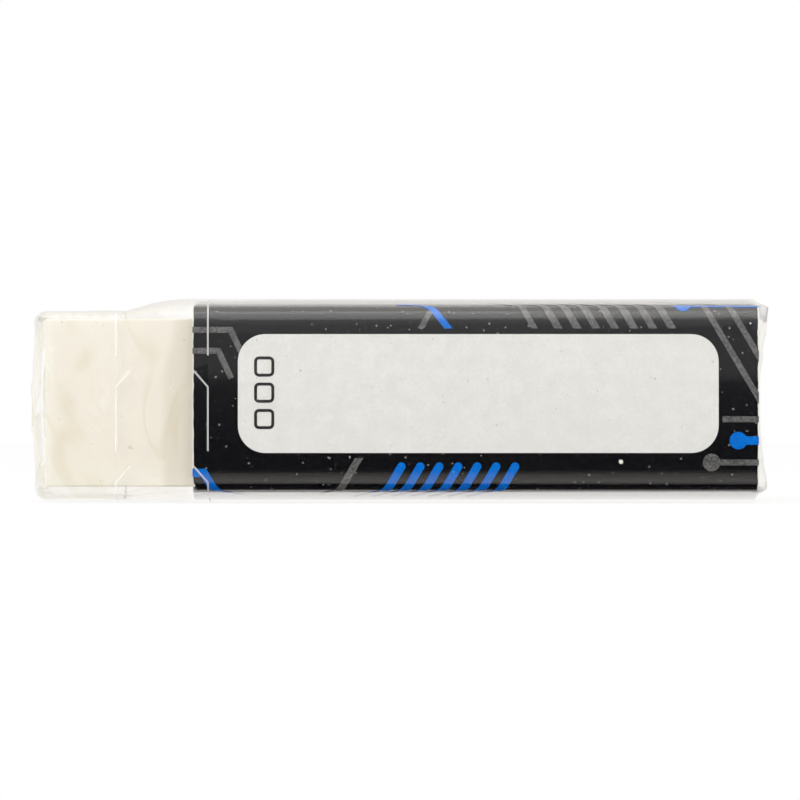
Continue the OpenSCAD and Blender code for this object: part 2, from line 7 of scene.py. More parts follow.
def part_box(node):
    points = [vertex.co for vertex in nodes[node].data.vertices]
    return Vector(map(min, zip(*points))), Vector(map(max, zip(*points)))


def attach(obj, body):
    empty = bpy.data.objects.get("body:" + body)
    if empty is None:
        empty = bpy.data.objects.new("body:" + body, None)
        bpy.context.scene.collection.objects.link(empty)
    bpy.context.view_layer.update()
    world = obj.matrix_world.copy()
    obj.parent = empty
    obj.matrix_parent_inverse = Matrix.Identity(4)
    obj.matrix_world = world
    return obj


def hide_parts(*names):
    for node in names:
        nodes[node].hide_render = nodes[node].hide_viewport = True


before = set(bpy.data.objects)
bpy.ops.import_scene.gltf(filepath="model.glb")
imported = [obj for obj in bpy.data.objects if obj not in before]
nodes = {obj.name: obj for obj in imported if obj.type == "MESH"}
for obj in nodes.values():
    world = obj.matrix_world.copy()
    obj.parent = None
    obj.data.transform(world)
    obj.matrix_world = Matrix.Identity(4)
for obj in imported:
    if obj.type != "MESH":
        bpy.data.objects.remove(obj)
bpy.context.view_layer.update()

mm = 0.001
sleeveLow, sleeveHigh = [Vector(c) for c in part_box("card_sleeve")]
blockLow, blockHigh = [Vector(c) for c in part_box("eraser_block")]
filmLow, filmHigh = [Vector(c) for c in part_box("shrink_film")]
panelLow = Vector(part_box("name_panel")[0])
middle = (sleeveLow + sleeveHigh) / 2


# Small helpers for node trees

def addNode(tree, kind, values=None, **settings):
    made = tree.nodes.new(kind)
    for name, value in settings.items():
        setattr(made, name, value)
    for key, value in (values or {}).items():
        if isinstance(value, bpy.types.NodeSocket):
            tree.links.new(value, made.inputs[key])
        else:
            made.inputs[key].default_value = value
    return made


def calc(tree, operation, a, b=0.0, clamp=False):
    return addNode(tree, "ShaderNodeMath", {0: a, 1: b}, operation=operation, use_clamp=clamp).outputs[0]


def plus(tree, first, second):
    return calc(tree, "ADD", first, second)


def minus(tree, first, second):
    return calc(tree, "SUBTRACT", first, second)


def times(tree, product, *others):
    for other in others:
        product = calc(tree, "MULTIPLY", product, other)
    return product


def smooth(tree, value, start, end):
    # 0 before start, 1 after end, with a soft change between them
    step = addNode(tree, "ShaderNodeMapRange", {0: value, 1: start, 2: end}, interpolation_type="SMOOTHSTEP")
    return step.outputs[0]


def noiseAt(tree, place, perMetre, detail, **more):
    values = {"Vector": place, "Scale": perMetre, "Detail": detail, **more}
    return addNode(tree, "ShaderNodeTexNoise", values).outputs[0]


def splitAxes(tree, vector):
    return addNode(tree, "ShaderNodeSeparateXYZ", {0: vector}).outputs


def trueFacing(tree):
    return splitAxes(tree, addNode(tree, "ShaderNodeNewGeometry").outputs["True Normal"])


def bumped(tree, height, strength=1.0, distance=1.0):
    values = {"Strength": strength, "Distance": distance, "Height": height}
    return addNode(tree, "ShaderNodeBump", values).outputs[0]


def mixColours(tree, amount, first, second):
    return addNode(tree, "ShaderNodeMix", {0: amount, 6: first, 7: second}, data_type="RGBA").outputs[2]


def mixShaders(tree, amount, first, second):
    return addNode(tree, "ShaderNodeMixShader", {0: amount, 1: first, 2: second}).outputs[0]


def colourRamp(tree, factor, first, last, stops):
    made = addNode(tree, "ShaderNodeValToRGB", {0: factor})
    elements = made.color_ramp.elements
    elements[0].position, elements[0].color = first
    elements[1].position, elements[1].color = last
    for at, colour in stops:
        elements.new(at).color = colour
    return made.outputs[0]


def newGroup(name, inputs, outputs):
    group = bpy.data.node_groups.new(name, "ShaderNodeTree")
    for label, kind, value in inputs:
        socket = group.interface.new_socket(label, in_out="INPUT", socket_type=kind)
        if value is not None:
            socket.default_value = value
    for label in outputs:
        group.interface.new_socket(label, in_out="OUTPUT", socket_type="NodeSocketFloat")
    return group, group.nodes.new("NodeGroupInput").outputs, group.nodes.new("NodeGroupOutput").inputs


def placeGroup(tree, group, **values):
    return addNode(tree, "ShaderNodeGroup", values, node_tree=group).outputs


def newMaterial(name):
    material = bpy.data.materials.new(name)
    material.use_nodes = True
    tree = material.node_tree
    tree.nodes.clear()
    output = tree.nodes.new("ShaderNodeOutputMaterial")
    place = tree.nodes.new("ShaderNodeTexCoord").outputs["Object"]
    return material, tree, output.inputs["Surface"], place


def dress(node, material):
    mesh = nodes[node].data
    mesh.materials.clear()
    mesh.materials.append(material)


floatKind, vectorKind = "NodeSocketFloat", "NodeSocketVector"


# Shared effects

shared = {
    "dotRoughness": 0.4,
    "dotShare": 0.7,
    "broadPerMetre": 900.0,
    "grainCut": (0.34, 0.66),
    "smallestSpeck": 0.35,
    "halfWall": 4.3 * mm,
    "wavesPerMetre": 260.0,
    "peelPerMetre": 2600.0,
}

# The two rows of cuts, as they are in the CAD film
perforation = {
    "cut": 3.87 * mm,
    "slant": 1.0 * mm,
    "slantIn": 0.87 * mm,
    "pitch": 5.77 * mm,
    "pitchesAdded": 20,
    "edgeHalf": (0.055 * mm, 0.025 * mm),
    "slantWidening": 0.25,
    "rowIn": 0.93 * mm,
    "stripWidth": 5.58 * mm,
    "cutOverPanelFoot": 0.12 * mm,
    "wideCutFrom": 8.48 * mm,
    "cornerDrop": 0.62 * mm,
}


def makeInkGrain():
    # The fine uneven dots of offset print, from 0 to 1 round 0.5
    group, given, put = newGroup(
        "inkGrain", [("Place", vectorKind, None), ("DotsPerMetre", floatKind, 8000.0)], ["Grain"])
    fine = noiseAt(group, given["Place"], given["DotsPerMetre"], 1.0, Roughness=shared["dotRoughness"])
    broad = noiseAt(group, given["Place"], shared["broadPerMetre"], 2.0)
    both = plus(group, times(group, fine, shared["dotShare"]), times(group, broad, 1 - shared["dotShare"]))
    group.links.new(smooth(group, both, *shared["grainCut"]), put["Grain"])
    return group


def makeDust():
    # Scattered specks: Size is their radius as a share of their spacing, Share is how many places have one
    group, given, put = newGroup("dustSpecks", [
        ("Place", vectorKind, None), ("PerMetre", floatKind, 600.0),
        ("Size", floatKind, 0.06), ("Share", floatKind, 0.5)], ["Specks"])
    cells = addNode(group, "ShaderNodeTexVoronoi", {"Vector": given["Place"], "Scale": given["PerMetre"]})
    lots = addNode(group, "ShaderNodeSeparateColor", {0: cells.outputs["Color"]}).outputs
    radius = times(group, given["Size"], plus(group, shared["smallestSpeck"], lots[1]))
    near = calc(group, "LESS_THAN", cells.outputs["Distance"], radius)
    chosen = calc(group, "LESS_THAN", lots[0], given["Share"])
    group.links.new(times(group, near, chosen), put["Specks"])
    return group


def makeWallBow():
    # Height of a wall that bows out a little between its folds, with slow waves and a fine unevenness
    group, given, put = newGroup("wallBow", [
        ("Place", vectorKind, None), ("Bow", floatKind, 0.1 * mm),
        ("Waves", floatKind, 0.004 * mm), ("Peel", floatKind, 0.0004 * mm)], ["Height"])
    up = minus(group, splitAxes(group, given["Place"])[2], middle.z)
    up = calc(group, "DIVIDE", up, shared["halfWall"])
    bowed = times(group, up, up, given["Bow"], -1.0)
    waves = times(group, noiseAt(group, given["Place"], shared["wavesPerMetre"], 1.5), given["Waves"])
    peel = times(group, noiseAt(group, given["Place"], shared["peelPerMetre"], 1.0), given["Peel"])
    group.links.new(plus(group, plus(group, bowed, waves), peel), put["Height"])
    return group


def makeCutRow():
    # The raised white edges along a row of perforation: straight cuts, each with a slanted end
    group, given, put = newGroup("cutRow", [
        ("Along", floatKind, 0.0), ("Across", floatKind, 0.0), ("Row", floatKind, 0.0),
        ("Start", floatKind, 0.0), ("Inwards", floatKind, 1.0)], ["Edge"])
    cut, slant, pitch = perforation["cut"], perforation["slant"], perforation["pitch"]
    # Whole pitches are added, because the remainder of a number below zero would be below zero too
    since = plus(group, minus(group, given["Along"], given["Start"]), perforation["pitchesAdded"] * pitch)
    since = calc(group, "MODULO", since, pitch)
    slanted = calc(group, "DIVIDE", minus(group, since, cut), slant, clamp=True)
    line = plus(group, given["Row"], times(group, slanted, perforation["slantIn"], given["Inwards"]))
    away = calc(group, "ABSOLUTE", minus(group, given["Across"], line))
    # The distance is taken across the row, so the slanted ends are widened to look as thick as the cuts
    onSlant = calc(group, "GREATER_THAN", slanted, 0.001)
    away = times(group, away, minus(group, 1.0, times(group, onSlant, perforation["slantWidening"])))
    edge = smooth(group, away, *perforation["edgeHalf"])
    cutHere = calc(group, "LESS_THAN", since, cut + slant)
    group.links.new(times(group, edge, cutHere), put["Edge"])
    return group


inkGrain = makeInkGrain()
dustSpecks = makeDust()
wallBow = makeWallBow()
cutRow = makeCutRow()
print("shared effects made")


# The block: cream plastic eraser, soft and slightly see-through

block = {
    "cream": (0.935, 0.888, 0.822, 1),
    "paler": (0.95, 0.917, 0.862, 1),
    "cloudsPerMetre": 170.0,
    "cloudCut": (0.35, 0.7),
    # Painted light along the edges of the bare end
    "endPaintedLight": (0.97, 0.94, 0.86, 1),
    "endFrom": 0.9 * mm,
    "endTo": 0.1 * mm,
    "endShare": 0.9,
    # Painted light low down on the block
    "lowPaintedLight": (0.97, 0.94, 0.87, 1),
    "lowFrom": 2.0 * mm,
    "lowTo": 0.4 * mm,
    "lowShare": 0.8,
    "shaded": (0.845, 0.795, 0.71, 1),
    "shadeWidth": 1.75 * mm,
    "shadeSoft": 0.35 * mm,
    "shadeInside": 0.3 * mm,
    "narrowerBy": 0.75 * mm,
    "narrowsOver": 1.0 * mm,
    "speck": (0.45, 0.40, 0.31, 1),
    "specks": {"PerMetre": 420.0, "Size": 0.05, "Share": 0.3},
    "speckShare": 0.35,
    "finePerMetre": 2400.0,
    "bump": 0.6,
    "bumpDepth": 0.02 * mm,
    "roughness": 0.5,
    "seeThrough": 0.06,
    "seeThroughDepth": 0.6 * mm,
    "seeThroughColours": (1.0, 0.8, 0.5),
}


def shadeBySleeve(tree, axes):
    # A darker band by the sleeve, narrower at the top, with a soft edge
    high = smooth(tree, axes[2], middle.z + block["narrowsOver"], blockHigh.z)
    fromSleeve = plus(tree, minus(tree, sleeveLow.x, axes[0]), times(tree, high, block["narrowerBy"]))
    width, soft = block["shadeWidth"], block["shadeSoft"]
    return times(tree, smooth(tree, fromSleeve, width + soft, width - soft),
                 smooth(tree, fromSleeve, -soft, block["shadeInside"]))


def dressBlock():
    material, tree, surface, place = newMaterial("blockRubber")
    axes = splitAxes(tree, place)
    cloud = noiseAt(tree, place, block["cloudsPerMetre"], 3.0)
    base = mixColours(tree, smooth(tree, cloud, *block["cloudCut"]), block["cream"], block["paler"])
    # Painted light: paler along the edges of the bare end, but not on the end itself, and paler low down
    nearEnd = smooth(tree, axes[0], blockLow.x + block["endFrom"], blockLow.x + block["endTo"])
    alongside = minus(tree, 1.0, calc(tree, "ABSOLUTE", trueFacing(tree)[0]))
    base = mixColours(tree, times(tree, nearEnd, alongside, block["endShare"]), base, block["endPaintedLight"])
    low = smooth(tree, axes[2], blockLow.z + block["lowFrom"], blockLow.z + block["lowTo"])
    base = mixColours(tree, times(tree, low, block["lowShare"]), base, block["lowPaintedLight"])
    base = mixColours(tree, shadeBySleeve(tree, axes), base, block["shaded"])
    specks = placeGroup(tree, dustSpecks, Place=place, **block["specks"])["Specks"]
    base = mixColours(tree, times(tree, specks, block["speckShare"]), base, block["speck"])
    fine = noiseAt(tree, place, block["finePerMetre"], 3.0)
    shader = addNode(tree, "ShaderNodeBsdfPrincipled", {
        "Base Color": base, "Roughness": block["roughness"], "Subsurface Weight": block["seeThrough"],
        "Subsurface Scale": block["seeThroughDepth"], "Subsurface Radius": block["seeThroughColours"],
        "Normal": bumped(tree, fine, block["bump"], block["bumpDepth"])})
    tree.links.new(shader.outputs[0], surface)
    dress("eraser_block", material)


dressBlock()
print("block dressed")


# The card: black gloss varnish outside, bare pale board inside and on the cut ends

card = {
    "black": (0.0028, 0.0028, 0.0042, 1),
    "blackPaler": (0.006, 0.006, 0.008, 1),
    "dotsPerMetre": 7000.0,
    "dotShare": 0.5,
    "dust": (0.5, 0.5, 0.5, 1),
    "dustSpecks": {"PerMetre": 2500.0, "Size": 0.13, "Share": 0.8},
    "dustShare": 0.45,
    "lint": (0.8, 0.8, 0.8, 1),
    "lintSpecks": {"PerMetre": 900.0, "Size": 0.05, "Share": 0.8},
    "lintShare": 0.95,
    "board": (0.90, 0.88, 0.80, 1),
    "boardDarker": (0.82, 0.79, 0.70, 1),
    "fibresPerMetre": 3000.0,
    "fibreCut": (0.3, 0.7),
    "rubbed": 0.13 * mm,
    "rubbedPerMetre": 1500.0,
    # Each with its x and z in mm and its size beside the rubbed edge
    "chips": ((13.33, 2.5, 1.5), (21.15, 10.85, 0.9), (-12.48, 1.05, 1.4)),
    "endFacing": 0.9,
    "gloss": 0.065,
    "bareRougher": 0.6,
    "wall": {"Bow": 0.1 * mm, "Waves": 0.006 * mm, "Peel": 0.0006 * mm},
}


def varnished(tree, base, place, roughness):
    height = placeGroup(tree, wallBow, Place=place, **card["wall"])["Height"]
    return addNode(tree, "ShaderNodeBsdfPrincipled", {
        "Base Color": base, "Roughness": roughness, "Normal": bumped(tree, height)}).outputs[0]


def bareBoard(tree, place):
    axes, facing = splitAxes(tree, place), trueFacing(tree)
    # Inside the tube a wall faces the middle
    outwards = plus(tree, times(tree, facing[1], minus(tree, axes[1], middle.y)),
                    times(tree, facing[2], minus(tree, axes[2], middle.z)))
    inside = calc(tree, "LESS_THAN", outwards, 0.0)
    cutEnd = calc(tree, "GREATER_THAN", calc(tree, "ABSOLUTE", facing[0]), card["endFacing"])
    # The print is rubbed off along the ends, and chipped in a few places on the front
    rubbed = times(tree, noiseAt(tree, place, card["rubbedPerMetre"], 2.0), card["rubbed"])
    fromEnd = calc(tree, "MINIMUM", minus(tree, axes[0], sleeveLow.x), minus(tree, sleeveHigh.x, axes[0]))
    bare = calc(tree, "MAXIMUM", inside, cutEnd)
    bare = calc(tree, "MAXIMUM", bare, calc(tree, "LESS_THAN", fromEnd, rubbed))
    inFront = calc(tree, "LESS_THAN", axes[1], 0.0)
    for x, z, size in card["chips"]:
        apart = plus(tree, calc(tree, "POWER", minus(tree, axes[0], x * mm), 2.0),
                     calc(tree, "POWER", minus(tree, axes[2], z * mm), 2.0))
        chip = calc(tree, "LESS_THAN", calc(tree, "SQRT", apart), times(tree, rubbed, size))
        bare = calc(tree, "MAXIMUM", bare, times(tree, chip, inFront))
    return bare


def dressCard():
    material, tree, surface, place = newMaterial("printedCard")
    grain = placeGroup(tree, inkGrain, Place=place, DotsPerMetre=card["dotsPerMetre"])["Grain"]
    ink = mixColours(tree, times(tree, grain, card["dotShare"]), card["black"], card["blackPaler"])
    for kind in ("dust", "lint"):
        specks = placeGroup(tree, dustSpecks, Place=place, **card[kind + "Specks"])["Specks"]
        ink = mixColours(tree, times(tree, specks, card[kind + "Share"]), ink, card[kind])
    fibre = noiseAt(tree, place, card["fibresPerMetre"], 3.0)
    board = mixColours(tree, smooth(tree, fibre, *card["fibreCut"]), card["board"], card["boardDarker"])
    bare = bareBoard(tree, place)
    roughness = plus(tree, card["gloss"], times(tree, bare, card["bareRougher"]))
    tree.links.new(varnished(tree, mixColours(tree, bare, ink, board), place, roughness), surface)
    dress("card_sleeve", material)


# The two inks that lie on the card

blueInk = {
    "light": (0.0, 0.185, 0.70, 1),
    "dark": (0.0, 0.138, 0.58, 1),
    "dotsPerMetre": 8200.0,
    "dust": (0.6, 0.6, 0.6, 1),
    "dustSpecks": {"PerMetre": 2200.0, "Size": 0.08, "Share": 0.4},
    "dustShare": 0.5,
}
greyInk = {
    **blueInk,
    "light": (0.17, 0.167, 0.163, 1),
    "dark": (0.08, 0.078, 0.077, 1),
}


def dressInk(node, ink):
    material, tree, surface, place = newMaterial(node + "Ink")
    grain = placeGroup(tree, inkGrain, Place=place, DotsPerMetre=ink["dotsPerMetre"])["Grain"]
    base = mixColours(tree, grain, ink["dark"], ink["light"])
    dust = placeGroup(tree, dustSpecks, Place=place, **ink["dustSpecks"])["Specks"]
    base = mixColours(tree, times(tree, dust, ink["dustShare"]), base, ink["dust"])
    tree.links.new(varnished(tree, base, place, card["gloss"]), surface)
    dress(node, material)


dressCard()
dressInk("print_blue", blueInk)
dressInk("print_grey", greyInk)
print("card and print dressed")


# The name panel: uncoated, with the flecks of recycled board

panel = {
    "pale": (0.765, 0.755, 0.722, 1),
    "paler": (0.81, 0.80, 0.775, 1),
    "cloudsPerMetre": 1300.0,
    "cloudCut": (0.3, 0.7),
    "grain": (0.70, 0.69, 0.66, 1),
    "dotsPerMetre": 5000.0,
    "dotShare": 0.4,
    "fleck": (0.40, 0.40, 0.42, 1),
    "flecks": (
        ({"PerMetre": 1800.0, "Size": 0.12, "Share": 0.6}, 0.5),
        ({"PerMetre": 800.0, "Size": 0.045, "Share": 0.35}, 0.6),
    ),
    "bump": 0.5,
    "bumpDepth": 0.01 * mm,
    "shine": 0.25,
    "roughness": 0.65,
}


def dressPanel():
    material, tree, surface, place = newMaterial("uncoatedPanel")
    cloud = noiseAt(tree, place, panel["cloudsPerMetre"], 4.0)
    base = mixColours(tree, smooth(tree, cloud, *panel["cloudCut"]), panel["pale"], panel["paler"])
    grain = placeGroup(tree, inkGrain, Place=place, DotsPerMetre=panel["dotsPerMetre"])["Grain"]
    base = mixColours(tree, times(tree, grain, panel["dotShare"]), base, panel["grain"])
    for sizes, share in panel["flecks"]:
        flecks = placeGroup(tree, dustSpecks, Place=place, **sizes)["Specks"]
        base = mixColours(tree, times(tree, flecks, share), base, panel["fleck"])
    shader = addNode(tree, "ShaderNodeBsdfPrincipled", {
        "Base Color": base, "Roughness": panel["roughness"], "Specular IOR Level": panel["shine"],
        "Normal": bumped(tree, cloud, panel["bump"], panel["bumpDepth"])})
    tree.links.new(shader.outputs[0], surface)
    dress("name_panel", material)


dressPanel()
print("name panel dressed")


# Three plain tick boxes at the panel's left end

marks = {
    "fromLeft": 1.59 * mm,
    "fromFoot": (5.22 * mm, 3.64 * mm, 2.05 * mm),
    "side": 1.22 * mm,
    "stroke": 0.18 * mm,
    "corner": 0.3 * mm,
    "cornerSteps": 6,
    "lift": 0.001 * mm,
    "thickness": 0.008 * mm,
    "ink": (0.012, 0.012, 0.014, 1),
    "inkPaler": (0.04, 0.04, 0.045, 1),
    "dotsPerMetre": 9000.0,
    "dotShare": 0.6,
    "roughness": 0.5,
}


def makeMark(up):
    centre = (panelLow.x + marks["fromLeft"], panelLow.y - marks["lift"], panelLow.z + up)
    bpy.ops.mesh.primitive_plane_add(size=marks["side"], rotation=(math.pi / 2, 0, 0), location=centre)
    box = bpy.context.object
    bpy.ops.object.transform_apply(location=True, rotation=True, scale=True)
    bpy.ops.object.mode_set(mode="EDIT")
    bpy.ops.mesh.select_all(action="SELECT")
    bpy.ops.mesh.bevel(
        offset=marks["corner"], offset_pct=0, segments=marks["cornerSteps"], affect="VERTICES")
    bpy.ops.mesh.select_all(action="SELECT")
    # After the inset only the inner face is selected, and it is taken out
    bpy.ops.mesh.inset(thickness=marks["stroke"], depth=0)
    bpy.ops.mesh.delete(type="FACE")
    bpy.ops.mesh.select_all(action="SELECT")
    bpy.ops.mesh.extrude_region_move(TRANSFORM_OT_translate={"value": (0, -marks["thickness"], 0)})
    bpy.ops.mesh.select_all(action="SELECT")
    bpy.ops.mesh.normals_make_consistent(inside=False)
    bpy.ops.object.mode_set(mode="OBJECT")
    return box


def makeMarks():
    bpy.ops.object.select_all(action="DESELECT")
    made = [makeMark(up) for up in marks["fromFoot"]]
    for box in made:
        box.select_set(True)
    bpy.context.view_layer.objects.active = made[0]
    bpy.ops.object.join()
    boxes = bpy.context.object
    boxes.name = "panel_tick_boxes"
    boxes.data.name = "panel_tick_boxes"
    return boxes


def dressMarks(boxes):
    material, tree, surface, place = newMaterial("tickBoxInk")
    grain = placeGroup(tree, inkGrain, Place=place, DotsPerMetre=marks["dotsPerMetre"])["Grain"]
    base = mixColours(tree, times(tree, grain, marks["dotShare"]), marks["ink"], marks["inkPaler"])
    shader = addNode(tree, "ShaderNodeBsdfPrincipled", {"Base Color": base, "Roughness": marks["roughness"]})
    tree.links.new(shader.outputs[0], surface)
    boxes.data.materials.append(material)


tickBoxes = makeMarks()
dressMarks(tickBoxes)
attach(tickBoxes, "root")
print("tick boxes made")


# The film: the CAD film cut finer, then creased as shrink film is

film = {
    "steps": (0.8 * mm, 0.9 * mm, 0.8 * mm),
    "weld": 0.00002 * mm,
    "smoothUnder": 32,
    "flatTo": 0.3 * mm,
    "flatFade": 1.5 * mm,
    "looseOver": 2.5 * mm,
    "bareWrinkle": 0.07 * mm,
    "sleeveWrinkle": 0.03 * mm,
    "softPerMetre": (330, 210, 150),
    "softShift": (3.1, 7.7, 1.3),
    "ridge": 0.7,
    "ridgePerMetre": (260, 130, 190),
    "ridgeSlant": 120,
    "ridgeShift": (9.2, 2.4, 5.5),
    "pleat": 0.06 * mm,
    "pleatReach": 1.3 * mm,
    "pleatRim": 0.12,
    "pleatsRound": (23, 5),
    "pleatsPerMetre": 700,
    "pleatSquash": 0.7,
    "earDepth": 0.4 * mm,
    "clear": (0.997, 0.997, 0.995, 1),
    "bareClear": (0.985, 0.981, 0.967, 1),
    "bareFrom": 0.3 * mm,
    "bareFull": 1.5 * mm,
    # Painted shade in the creases of the loose film
    "creaseShade": (0.962, 0.954, 0.922, 1),
    "foldsPerMetre": 230.0,
    "foldSlant": (0, 0.5, 0),
    "foldStretch": (1.0, 0.6, 0.55),
    "foldTwist": 1.2,
    "foldHalf": 0.07,
    "brokenPerMetre": 300.0,
    "brokenCut": (0.38, 0.55),
    "white": (0.985, 0.985, 0.97, 1),
    "haze": 0.0012,
    "bareHaze": 0.015,
    "crackleHaze": 0.08,
    "crackleCut": (0.60, 0.74),
    "dustHaze": 0.3,
    "dustSpecks": {"PerMetre": 1600.0, "Size": 0.06, "Share": 0.3},
    "endHaze": 0.05,
    "endReach": 0.9 * mm,
    "burrHaze": 0.95,
    "wideFacing": 0.72,
    "streaksPerMetre": 420.0,
    "streakStretch": (1.0, 1.0, 0.45),
    "streakTwist": 0.8,
    "streakDepth": 0.16 * mm,
    "wall": {"Bow": 0.1 * mm, "Waves": 0.008 * mm, "Peel": 0.0002 * mm},
    "gloss": 0.035,
    "mirrorFacing": 0.04,
    "mirrorEdgeOn": 0.96,
}


def cutFiner(axis, start, end, step):
    direction = [0, 0, 0]
    direction[axis] = 1
    at = start + step / 2
    while at < end:
        point = [0, 0, 0]
        point[axis] = at
        bpy.ops.mesh.select_all(action="SELECT")
        bpy.ops.mesh.bisect(plane_co=point, plane_no=direction)
        at += step


def limited(value):
    return min(1, max(0, value))


def pleatAt(p, across, up):
    # Pleats that run in towards the openings at the two ends
    pleats, sway = film["pleatsRound"]
    move = 0
    for end, side in ((filmLow.x, -1), (filmHigh.x - film["earDepth"], 1)):
        near = max(0, 1 - abs(p.x - end) / film["pleatReach"])
        if near:
            turn = math.atan2(p.z - middle.z, (p.y - middle.y) * film["pleatSquash"])
            pleat = math.sin(turn * pleats + 2 * math.sin(turn * sway)) * 0.5
            pleat += noise.noise(Vector((p.y, p.z, end)) * film["pleatsPerMetre"])
            inner = limited((1 - max(abs(across), abs(up))) / film["pleatRim"])
            move += side * film["pleat"] * near * inner * pleat
    return move


def wrinkled(p):
    # Both faces of the film move alike, because the move depends on the place alone
    across = (p.y - middle.y) / (filmHigh.y - filmLow.y) * 2
    up = (p.z - middle.z) / (filmHigh.z - filmLow.z) * 2
    out = Vector((0, math.copysign(abs(across) ** 7, across), math.copysign(abs(up) ** 7, up)))
    out = out.normalized() if out.length > 1e-9 else Vector((0, 0, 0))
    # The film stays flat under the part, where the part rests on it
    offFloor = limited((p.z - film["flatTo"]) / film["flatFade"])
    bare = limited((sleeveLow.x - p.x) / film["looseOver"])
    x, y, z = film["softPerMetre"]
    soft = noise.noise(Vector((p.x * x, p.y * y, p.z * z)) + Vector(film["softShift"]))
    x, y, z = film["ridgePerMetre"]
    ridgePlace = Vector((p.x * x + p.z * film["ridgeSlant"], p.y * y, p.z * z)) + Vector(film["ridgeShift"])
    ridge = max(0, 1 - abs(noise.noise(ridgePlace)) * 2) ** 3
    size = film["sleeveWrinkle"] * (1 - bare) * max(0, up) ** 4 + film["bareWrinkle"] * bare
    depth = soft + film["ridge"] * ridge if bare > 0 else max(0, soft)
    return p + out * size * depth * offFloor + Vector((pleatAt(p, across, up) * offFloor, 0, 0))


def makeFilm():
    bpy.ops.object.select_all(action="DESELECT")
    sheet = nodes["shrink_film"].copy()
    sheet.data = nodes["shrink_film"].data.copy()
    bpy.context.scene.collection.objects.link(sheet)
    sheet.name = "shrink_film_creased"
    sheet.data.name = "shrink_film_creased"
    sheet.select_set(True)
    bpy.context.view_layer.objects.active = sheet
    bpy.ops.object.mode_set(mode="EDIT")
    bpy.ops.mesh.select_all(action="SELECT")
    bpy.ops.mesh.remove_doubles(threshold=film["weld"])
    for axis, step in enumerate(film["steps"]):
        cutFiner(axis, filmLow[axis], filmHigh[axis], step)
    bpy.ops.object.mode_set(mode="OBJECT")
    for vertex in sheet.data.vertices:
        vertex.co = wrinkled(vertex.co)
    bpy.ops.object.shade_smooth_by_angle(angle=math.radians(film["smoothUnder"]))
    print("film has", len(sheet.data.polygons), "faces")
    return sheet


def cutEdges(tree, axes):
    # White edges along the perforation, on the sides and across the wide faces
    onWide = calc(tree, "GREATER_THAN", calc(tree, "ABSOLUTE", trueFacing(tree)[2]), film["wideFacing"])
    rowRight = sleeveLow.x + perforation["rowIn"]
    rowLeft = rowRight - perforation["stripWidth"]
    firstCut = panelLow.z + perforation["cutOverPanelFoot"]
    upperCorner = sleeveHigh.z - perforation["cornerDrop"]
    wideCut = middle.y - perforation["wideCutFrom"] - (upperCorner - firstCut)
    edges = []
    for row, inwards in ((rowRight, -1.0), (rowLeft, 1.0)):
        rowValues = {"Across": axes[0], "Row": row, "Inwards": inwards}
        onSide = placeGroup(tree, cutRow, Along=axes[2], Start=firstCut, **rowValues)["Edge"]
        onTop = placeGroup(tree, cutRow, Along=axes[1], Start=wideCut, **rowValues)["Edge"]
        chosen = addNode(tree, "ShaderNodeMix", {0: onWide, 2: onSide, 3: onTop}, data_type="FLOAT")
        edges.append(chosen.outputs[0])
    return calc(tree, "MAXIMUM", *edges)


def creaseShadeLines(tree, place):
    # Painted shade: soft tan lines where the loose film is folded on itself
    slanted = addNode(tree, "ShaderNodeMapping", {
        "Vector": place, "Rotation": film["foldSlant"], "Scale": film["foldStretch"]}).outputs[0]
    folds = noiseAt(tree, slanted, film["foldsPerMetre"], 1.5, Distortion=film["foldTwist"])
    fold = smooth(tree, calc(tree, "ABSOLUTE", minus(tree, folds, 0.5)), film["foldHalf"], 0.0)
    broken = noiseAt(tree, place, film["brokenPerMetre"], 1.0)
    return times(tree, fold, smooth(tree, broken, *film["brokenCut"]))


def filmHaze(tree, place, axes, bare, streaks):
    # The share of milky white in the clear film
    crackle = times(tree, smooth(tree, streaks, *film["crackleCut"]), bare)
    dust = placeGroup(tree, dustSpecks, Place=place, **film["dustSpecks"])["Specks"]
    byEnd = smooth(tree, axes[0], blockLow.x + film["endReach"], blockLow.x)
    haze = film["haze"]
    layers = (("bareHaze", bare), ("crackleHaze", crackle), ("dustHaze", dust), ("endHaze", byEnd))
    for key, amount in layers:
        haze = plus(tree, haze, times(tree, amount, film[key]))
    return calc(tree, "MAXIMUM", haze, times(tree, cutEdges(tree, axes), film["burrHaze"]))


